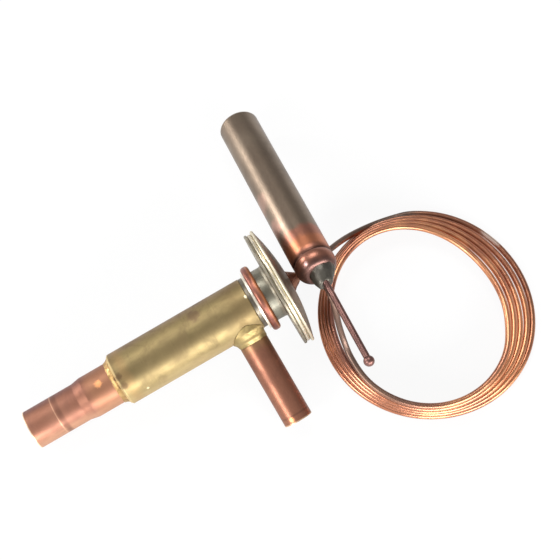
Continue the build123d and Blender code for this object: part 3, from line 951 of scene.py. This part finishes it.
@dataclass
class BodyBar:
    """The turned brass body with the parts that work inside it."""

    def build(self) -> None:
        """Dresses the body and its inner parts."""
        axes = PLACES.valve()
        stain = (104, 80, 58)
        dress(["valve_body"], MetalFinish(
            "brass_bar_turned", axes, (152, 134, 93), (118, 101, 72),
            (180, 159, 112), patch=6.5, dullness=0.7, brightness=0.35, speckle=0.6,
            grain=Grain.AROUND, grain_depth=0.1, roughness=(0.42, 0.58), metallic=0.88,
            ripple=0.14,
            # Painted light: a darker band along the top as painted shade of a dull reflection,
            # painted shade along the upper back edge and a painted cream highlight along the lower
            # front edge.
            painted_light_streaks=(PaintedLightStreak(110.0, 20.0, (116, 100, 70), 0.6),
                     PaintedLightStreak(20.0, 32.0, (118, 92, 74), 0.6),
                     PaintedLightStreak(190.0, 34.0, (212, 188, 140), 0.55)),
            bands=(Band(30.8, 31.9, (214, 190, 138), 0.7, 0.25),
                   Band(33.0, 36.0, (170, 136, 92), 0.4, 1.5, 2.5),
                   Band(72.0, 79.5, (128, 108, 74), 0.5, 3.0, 5.0)),
            marks=(Mark((61.8, 3.8, 7.9), 3.4, (112, 86, 70), 0.6),
                   Mark((38.4, -8.0, 3.5), 0.6, (250, 232, 190), 0.8),
                   Mark((78.9, 0.2, 8.7), 0.8, (252, 240, 206), 0.9),
                   Mark((32.4, -1.6, 8.4), 1.6, stain, 0.7),
                   Mark((32.6, -4.6, 7.2), 1.7, stain, 0.7),
                   Mark((64.0, 7.5, 4.0), 2.6, (104, 84, 62), 0.6),
                   Mark((74.0, -6.5, 5.6), 2.4, (100, 82, 52), 0.5))))
        steel = MetalFinish("ground_steel_parts", axes, (176, 174, 168),
                            (120, 116, 108), (224, 222, 214), patch=2.0,
                            grain=Grain.AROUND, roughness=(0.2, 0.38), metallic=1.0)
        dress(["seat_insert", "valve_pin", "push_rods"], steel)
        brass = MetalFinish("turned_inner_brass", axes, (192, 164, 104),
                            (130, 106, 64), (232, 208, 150), patch=2.4,
                            grain=Grain.AROUND, roughness=(0.24, 0.42))
        dress(["pin_carrier", "rod_guide", "adjusting_nut"], brass)
        dress(["rod_seals"], RubberFinish("seal_rubber_black", axes))
        wire = bmesh.new()
        wire.from_mesh(frame["nodes"]["superheat_spring"].data)
        finish = MetalFinish(
            "spring_wire", axes, (160, 158, 156), (96, 90, 84),
            (214, 212, 208), patch=1.6, roughness=(0.22, 0.42), metallic=1.0)
        low, high = (axes.point(end) for end in reach("superheat_spring", axes))
        add_piece("spring_working", wire, finish, ["superheat_spring"],
                  bend=(low, high))


@dataclass
class PowerHead:
    """The diaphragm head with its collar, gasket, welded rim and soldered boss."""

    neck_radius: float = 8.8
    gasket: tuple[float, float, float] = (81.25, 83.95, 11.2)
    gasket_round: float = 1.05
    cap_floor: float = 89.8
    cap_radius: float = 19.85
    edge_round: float = 0.5
    dome: tuple[tuple[float, float], ...] = (
        (90.95, 18.9), (91.35, 17.4), (91.9, 15.2), (92.45, 12.4), (92.9, 9.6), (93.2, 6.8),
        (93.35, 4.6))
    spigot_radius: float = 2.25
    spigot_top: float = 94.35
    bore_radius: float = 1.1
    ceiling: float = 92.5
    underside: tuple[tuple[float, float], ...] = (
        (90.3, 15.2), (91.4, 12.0), (92.1, 8.0), (92.5, 4.0))
    clamp_radius: float = 17.0
    diaphragm_sheet: float = 0.11
    diaphragm_radius: float = 18.68
    held_radius: float = 16.6
    dish_radius: float = 11.5
    dish_steps: int = 12

    def build(self) -> None:
        """Builds the cap, the gasket and the boss and dresses the rest."""
        axes = PLACES.valve()
        self._collar(axes)
        self._gasket(axes)
        self._cup(axes)
        self._cap(axes)
        self._inside(axes)
        finish = MetalFinish(
            "boss_solder", axes, (146, 104, 84), (98, 70, 58),
            (200, 156, 124), patch=1.6, speckle=0.5, roughness=(0.32, 0.52), depth=0.3)
        add_piece("boss_solder_cone", melted("capillary_braze"), finish,
                  ["capillary_braze"])

    def _collar(self, axes: Axes) -> None:
        """Dresses the collar, with a painted highlight as a white belt on its thin flange."""
        dress(["gasket_seat_collar"], MetalFinish(
            "plated_collar", axes, (112, 104, 92), (78, 72, 64),
            (168, 158, 142), patch=2.2, grain=Grain.AROUND, grain_depth=0.1,
            roughness=(0.34, 0.5), ripple=0.2,
            # The white belt on the flange is a painted highlight.
            bands=(Band(80.5, 81.6, (250, 244, 228), 0.9, 0.15),)))

    def _gasket(self, axes: Axes) -> None:
        """Builds the gasket as a full round-cornered ring."""
        low, high, radius = self.gasket
        corner = self.gasket_round
        outline = [(low, self.neck_radius)]
        outline += arc((low + corner, radius - corner), corner, 180, 90)
        outline += arc((high - corner, radius - corner), corner, 90, 0)
        outline += [(high, self.neck_radius)]
        finish = MetalFinish(
            "gasket_copper_ring", axes, (136, 88, 76), (108, 70, 64),
            (190, 128, 104), patch=3.0, grain=Grain.AROUND, grain_depth=0.1,
            roughness=(0.36, 0.52), ripple=0.3,
            bands=(Band(83.0, 84.2, (208, 138, 98), 0.6, 0.4, 0.4),))
        add_piece("gasket_full_ring", spun(outline, axes, closed=True), finish,
                  ["gasket_ring"])

    def _cup(self, axes: Axes) -> None:
        """Dresses the lower cup and the weld round the rim."""
        dress(["head_lower_cup"], MetalFinish(
            "plated_cup", axes, (142, 134, 118), (96, 94, 86),
            (206, 194, 170), patch=4.0, grain=Grain.AROUND, grain_depth=0.1,
            roughness=(0.34, 0.52), metallic=0.92, ripple=0.3,
            bands=(Band(84.0, 86.4, (134, 134, 122), 0.6, 0.8, 2.0),)))
        # The weld's pale cream is partly its own metal and partly a painted highlight of the
        # bright rim.
        finish = MetalFinish(
            "weld_bead", axes, (214, 204, 182), (150, 138, 120),
            (248, 242, 224), patch=1.6, speckle=0.4, roughness=(0.3, 0.46), depth=0.15)
        dress(["rim_weld"], finish)

    def _cap(self, axes: Axes) -> None:
        """Builds the domed cap with its rolled edge."""
        corner = self.edge_round
        high = self.cap_floor + 2 * corner + 0.1
        outline = [(self.spigot_top, self.bore_radius), (self.spigot_top, self.spigot_radius),
                   (self.dome[-1][0], self.spigot_radius)]
        outline += list(reversed(self.dome))
        outline += arc((high - corner, self.cap_radius - corner), corner, 0, 180)
        outline += [(self.cap_floor, self.clamp_radius), *self.underside,
                    (self.ceiling, self.bore_radius)]
        finish = MetalFinish(
            "stainless_cap", axes, (142, 130, 112), (98, 88, 76),
            (206, 192, 164), patch=5.0, grain=Grain.OUTWARD, grain_depth=0.12,
            roughness=(0.34, 0.52), metallic=0.92, ripple=0.4,
            # The cream belt on the rolled edge is a painted highlight.
            bands=(Band(89.0, 90.75, (236, 226, 200), 0.7, 0.15),
                   Band(90.9, 91.3, (146, 110, 92), 0.5, 0.2, 0.3),
                   Band(92.8, 94.0, (138, 108, 90), 0.5, 0.5, 1.0)))
        add_piece("head_cap_dome", spun(outline, axes, closed=True), finish,
                  ["head_upper_cap"])

    def _inside(self, axes: Axes) -> None:
        """Builds the diaphragm and dresses the plate."""
        low, high = reach("diaphragm", axes)
        rim = high - self.diaphragm_sheet
        face = [(low, 0.0), (low, self.dish_radius * 0.5), (low, self.dish_radius)]
        for step in range(1, self.dish_steps + 1):
            share = step / self.dish_steps
            rise = share * share * (3 - 2 * share)
            face.append((low + (rim - low) * rise, self.dish_radius
                         + (self.held_radius - self.dish_radius) * share))
        face.append((rim, self.diaphragm_radius))
        back = [(along + self.diaphragm_sheet, out) for along, out in reversed(face)]
        finish = MetalFinish(
            "diaphragm_sheet", axes, (172, 170, 164), (130, 126, 120),
            (224, 222, 214), patch=5.0, grain=Grain.OUTWARD, metallic=1.0)
        add_piece("diaphragm_flexing", spun(face + back, axes), finish,
                  ["diaphragm"],
                  bend=(axes.point(rim), axes.point(low + self.diaphragm_sheet)))
        dress(["buffer_plate"], MetalFinish(
            "buffer_plate_steel", axes, (168, 164, 156), (118, 112, 104),
            (220, 216, 206), patch=4.0, grain=Grain.OUTWARD, metallic=1.0))


@dataclass
class Bulb:
    """The remote bulb with its soldered neck and pinched-off charging tube."""

    foot: float = 1.1
    foot_round: float = 1.0
    barrel: float = 6.7
    groove: float = 67.2
    groove_depth: float = 0.32
    groove_half: float = 0.55
    shoulder_start: float = 68.9
    shoulder_end: float = 72.7
    shoulder_top: float = 3.4
    shoulder_steps: int = 10
    groove_floor: float = 0.18
    neck_end: float = 77.4
    neck_rest: float = 5.0
    neck_sag: tuple[float, float] = (0.9, 0.3)
    neck_lumps: tuple[float, float] = (3.4, 1.3)
    neck_swell: float = 0.45
    neck_outline: tuple[tuple[float, float], ...] = (
        (70.5, 0.0), (70.7, 3.2), (71.6, 4.3), (73.0, 4.35), (74.5, 3.75), (75.9, 3.0),
        (77.0, 2.5), (77.6, 1.9), (77.75, 0.0))

    def build(self) -> None:
        """Builds the shell and its solder and dresses the charging tube."""
        axes = PLACES.bulb()
        self._shell(axes)
        self._solder(axes)
        dark = MetalFinish(
            "dark_copper_tube", axes, (122, 88, 82), (86, 64, 60),
            (156, 118, 108), patch=7.0, roughness=(0.36, 0.46), ripple=0.08)
        dress(["charging_tube", "charging_ball"], dark)

    def _shell(self, axes: Axes) -> None:
        """Builds the shell: a closed tube with a rolled groove and a swaged shoulder."""
        radius, low, half = self.barrel, self.foot, self.groove_half
        outline = [(low + 0.35, 0.0), (low + 0.3, radius * 0.6)]
        outline += arc((low + self.foot_round, radius - self.foot_round), self.foot_round, 180, 90)
        outline += [(low + 20.0, radius - 0.02), (low + 42.0, radius + 0.02),
                    (self.groove - 2.2, radius), (self.groove - half, radius - 0.04),
                    (self.groove - self.groove_floor, radius - self.groove_depth),
                    (self.groove + self.groove_floor, radius - self.groove_depth),
                    (self.groove + half, radius - 0.04)]
        length = self.shoulder_end - self.shoulder_start
        drop = radius - self.shoulder_top
        for step in range(self.shoulder_steps + 1):
            angle = math.radians(90 - 90 * step / self.shoulder_steps)
            outline.append((self.shoulder_start + length * math.cos(angle),
                            self.shoulder_top + drop * math.sin(angle)))
        outline.append((self.shoulder_end, 0.0))
        red, orange = (158, 104, 86), (204, 126, 84)
        finish = MetalFinish(
            "bulb_copper_shell", axes, (128, 112, 97), (102, 90, 78),
            (158, 142, 124), patch=10.0, dullness=0.5, brightness=0.3,
            grain=Grain.ALONG, grain_depth=0.08, roughness=(0.32, 0.44), ripple=0.15,
            bands=(Band(57.0, 80.0, red, 0.9, 1.2, 3.0),
                   Band(61.0, 65.6, orange, 0.55, 1.4, 3.0),
                   # Painted shade: the dark belt in the groove and the dark belt round the
                   # shoulder's end.
                   Band(66.7, 67.7, (84, 58, 50), 0.85, 0.35),
                   Band(71.0, 80.0, (92, 70, 66), 0.85, 0.9, 1.5)),
            # A painted highlight in the pink spot on the shoulder, and painted reflections in the
            # two pale pink patches along one side.
            marks=(Mark((70.9, -3.5, 5.2), 0.9, (240, 200, 196), 0.7),
                   Mark((52.0, -6.2, 2.0), 5.0, (196, 150, 134), 0.6),
                   Mark((40.0, -6.4, 1.6), 5.0, (186, 146, 130), 0.5)))
        add_piece("bulb_spun_shell", spun(outline, axes, steps=128), finish,
                  ["bulb_shell"])

    def _solder(self, axes: Axes) -> None:
        """Builds the run solder round the neck, fuller towards the shell."""
        upright = Axes(Vector(), Vector((1, 0, 0)), Vector((0, 1, 0)))
        shape = spun(self.neck_outline, upright, steps=72)
        bmesh.ops.subdivide_edges(shape, edges=shape.edges, cuts=2, use_grid_fill=True)
        bmesh.ops.smooth_vert(shape, verts=shape.verts, factor=0.5, use_axis_x=True,
                              use_axis_y=True, use_axis_z=True)
        for point in shape.verts:
            rest = min(1.0, max(0.0, (self.neck_end - point.co.x / MM) / self.neck_rest))
            point.co.y += self.neck_sag[0] * MM * rest
            point.co.z += self.neck_sag[1] * MM * rest
            large, small = (noise.noise(point.co / (size * MM)) for size in self.neck_lumps)
            lump = self.neck_swell * MM * (large + 0.35 * small) * min(1.0, rest + 0.25)
            point.co += Vector((0.5, point.co.y / (5 * MM), point.co.z / (5 * MM))) * lump
        bmesh.ops.transform(shape, matrix=axes.matrix(), verts=shape.verts)
        finish = MetalFinish(
            "neck_solder", axes, (100, 96, 88), (64, 60, 56),
            (146, 142, 130), patch=3.6, speckle=0.4, roughness=(0.34, 0.5), depth=0.15,
            bands=(Band(60.0, 72.6, (128, 92, 80), 0.5, 0.6, 1.0),))
        add_piece("neck_solder_blob", shape, finish, ["bulb_neck_braze"])


# ---- studio -------------------------------------------------------------------------------------


@dataclass(frozen=True)
class Lamp:
    """One soft lamp: where it hangs, what it faces, its width and height, and its watts."""

    name: str
    place: tuple[float, float, float]
    aim: tuple[float, float, float]
    size: tuple[float, float]
    power: float

    def build(self) -> None:
        """Hangs the lamp."""
        data = bpy.data.lights.new(self.name, "AREA")
        data.shape = "RECTANGLE"
        data.size, data.size_y = self.size
        data.energy = self.power
        lamp = put(self.name, data)
        lamp.location = self.place
        lamp.rotation_mode = "QUATERNION"
        facing = Vector(self.aim) - Vector(self.place)
        lamp.rotation_quaternion = facing.to_track_quat("-Z", "Y")


@dataclass
class Studio:
    """The table, the soft lamps, the pale surroundings and the camera."""

    azimuth: float = -28.97
    elevation: float = 70.23
    distance: float = 489.55
    target: tuple[float, float] = (93.26, 8.16)
    lens: float = 95.40
    table_size: float = 3.0
    world_strength: float = 0.38
    backdrop: float = 1.0
    table_glow: tuple[float, float, float] = (0.9, 0.35, 1.0)
    lamps: tuple[Lamp, ...] = (
        Lamp("left_window", (-0.75, 0.8, 0.32), (0.05, 0.0, 0.0), (0.35, 0.5), 8.5),
        Lamp("left_softbox", (-0.8, -0.2, 0.45), (0.03, 0.0, 0.0), (0.35, 0.35), 6.5),
        Lamp("front_strip", (0.05, -0.8, 0.3), (0.03, 0.0, 0.0), (1.1, 0.22), 12.0),
        Lamp("back_softbox", (0.1, 0.45, 0.75), (0.03, 0.0, 0.0), (0.5, 0.35), 3.5))

    def camera(self) -> None:
        """Sets the camera, looking down at the part from its left front."""
        turn, climb = math.radians(self.azimuth), math.radians(self.elevation)
        away = Vector((math.sin(turn) * math.cos(climb), -math.cos(turn) * math.cos(climb),
                       math.sin(climb)))
        data = bpy.data.cameras.new("camera")
        data.lens = self.lens
        data.sensor_width = 36.0
        camera = put("camera", data)
        camera.location = PLACES.from_mouth(*self.target, 0.0) + away * self.distance * MM
        camera.rotation_mode = "QUATERNION"
        camera.rotation_quaternion = (-away).to_track_quat("-Z", "Y")
        bpy.context.scene.camera = camera

    def table(self) -> None:
        """Lays the pale table, which shows white but keeps the part's shadow."""
        mesh = bpy.data.meshes.new("table")
        shape = bmesh.new()
        bmesh.ops.create_grid(shape, x_segments=1, y_segments=1, size=self.table_size / 2)
        shape.to_mesh(mesh)
        shape.free()
        table = put("table", mesh)
        kit = NodeKit("table_white")
        grain = kit.noise(kit.node("ShaderNodeTexCoord").outputs["Object"], 400.0)
        colour = kit.blend(grain, (226, 226, 226), (234, 234, 234))
        matt = kit.node("ShaderNodeBsdfPrincipled", None, {"Base Color": colour, "Roughness": 0.8})
        glow = kit.node("ShaderNodeEmission", None, {"Color": (1, 1, 1, 1), "Strength": 1.0})
        path = kit.node("ShaderNodeLightPath")
        seen = [Field(kit, path.outputs[name])
                for name in ("Is Camera Ray", "Is Glossy Ray", "Is Transmission Ray")]
        camera, glossy, clear = self.table_glow
        share = (seen[0] * camera + seen[1] * glossy + seen[2] * clear).clamp()
        mix = kit.node("ShaderNodeMixShader", None,
                       {0: share, 1: matt.outputs[0], 2: glow.outputs[0]})
        kit.node("ShaderNodeOutputMaterial", None, {"Surface": mix.outputs[0]})
        mesh.materials.append(kit.material)

    def surroundings(self) -> None:
        """Gives the pale surroundings, white where the camera sees them."""
        kit = NodeKit("studio", bpy.data.worlds.new("studio"))
        bpy.context.scene.world = kit.material
        path = kit.node("ShaderNodeLightPath")
        plain, white = (
            kit.node("ShaderNodeBackground", None, {"Color": linear(shade), "Strength": strength})
            for shade, strength in (((236, 236, 236), self.world_strength),
                                    ((255, 255, 255), self.backdrop)))
        mix = kit.node("ShaderNodeMixShader", None, {
            0: path.outputs["Is Camera Ray"], 1: plain.outputs[0], 2: white.outputs[0]})
        kit.node("ShaderNodeOutputWorld", None, {"Surface": mix.outputs[0]})

    def build(self) -> None:
        """Sets up the whole studio."""
        bpy.context.scene.view_settings.view_transform = "Standard"
        self.camera()
        self.table()
        self.surroundings()
        for lamp in self.lamps:
            lamp.build()


def main() -> None:
    """Builds the part piece by piece."""
    logging.basicConfig(level=logging.INFO, format="%(name)s: %(message)s")
    Studio().build()
    for assembly in (Capillary(), OutletEnd(), InletEnd(), BodyBar(), PowerHead(), Bulb()):
        assembly.build()
        LOG.info("finished %s", type(assembly).__name__)


if __name__ == "__main__":
    main()
